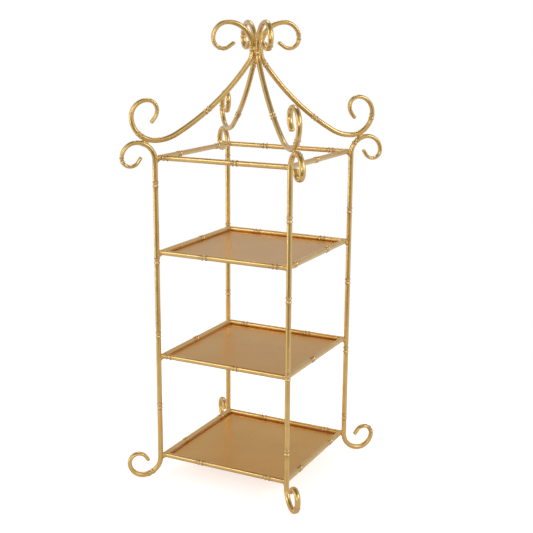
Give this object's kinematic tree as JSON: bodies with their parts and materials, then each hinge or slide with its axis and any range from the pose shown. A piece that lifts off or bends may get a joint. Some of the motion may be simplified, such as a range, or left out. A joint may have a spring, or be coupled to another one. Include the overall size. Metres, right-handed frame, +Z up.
{
  "type": "tiered cake stand",
  "caption": "Square tiered cake stand of welded bamboo-pattern gold wire, with sheet shelves, scroll feet and a pagoda roof of swooping rods that curl at both ends.",
  "frame": {"origin": "on the floor under the middle of the stand, with the four feet standing on z = 0", "axes": "+Z up; +X to the right and +Y to the back along the sides of the square shelves, so the four scrolls point along the diagonals"},
  "size_m": [0.2269, 0.2269, 0.533],
  "materials": {
    "gold_wire": "satin lacquered gold, brushed along the wire, glossy on the curves",
    "gold_sheet": "satin gold sheet with a soft blurred reflection",
    "gold_weld": "satin gold over a slightly rough weld bead"
  },
  "bodies": {
    "root": {"post_front_left": "gold_wire", "post_front_right": "gold_wire", "post_back_right": "gold_wire", "post_back_left": "gold_wire", "roof_rod_front_left": "gold_wire", "roof_rod_front_right": "gold_wire", "roof_rod_back_right": "gold_wire", "roof_rod_back_left": "gold_wire", "bottom_shelf_rod_front": "gold_wire", "bottom_shelf_rod_right": "gold_wire", "bottom_shelf_rod_back": "gold_wire", "bottom_shelf_rod_left": "gold_wire", "middle_shelf_rod_front": "gold_wire", "middle_shelf_rod_right": "gold_wire", "middle_shelf_rod_back": "gold_wire", "middle_shelf_rod_left": "gold_wire", "top_shelf_rod_front": "gold_wire", "top_shelf_rod_right": "gold_wire", "top_shelf_rod_back": "gold_wire", "top_shelf_rod_left": "gold_wire", "crown_rod_front": "gold_wire", "crown_rod_right": "gold_wire", "crown_rod_back": "gold_wire", "crown_rod_left": "gold_wire", "bottom_shelf_plate": "gold_sheet", "middle_shelf_plate": "gold_sheet", "top_shelf_plate": "gold_sheet", "bottom_shelf_weld_front_left": "gold_weld", "bottom_shelf_weld_front_right": "gold_weld", "bottom_shelf_weld_back_right": "gold_weld", "bottom_shelf_weld_back_left": "gold_weld", "middle_shelf_weld_front_left": "gold_weld", "middle_shelf_weld_front_right": "gold_weld", "middle_shelf_weld_back_right": "gold_weld", "middle_shelf_weld_back_left": "gold_weld", "top_shelf_weld_front_left": "gold_weld", "top_shelf_weld_front_right": "gold_weld", "top_shelf_weld_back_right": "gold_weld", "top_shelf_weld_back_left": "gold_weld", "crown_weld_front_left": "gold_weld", "crown_weld_front_right": "gold_weld", "crown_weld_back_right": "gold_weld", "crown_weld_back_left": "gold_weld", "roof_weld_front_left": "gold_weld", "roof_weld_front_right": "gold_weld", "roof_weld_back_right": "gold_weld", "roof_weld_back_left": "gold_weld", "apex_braze": "gold_weld"}
  },
  "joints": []
}
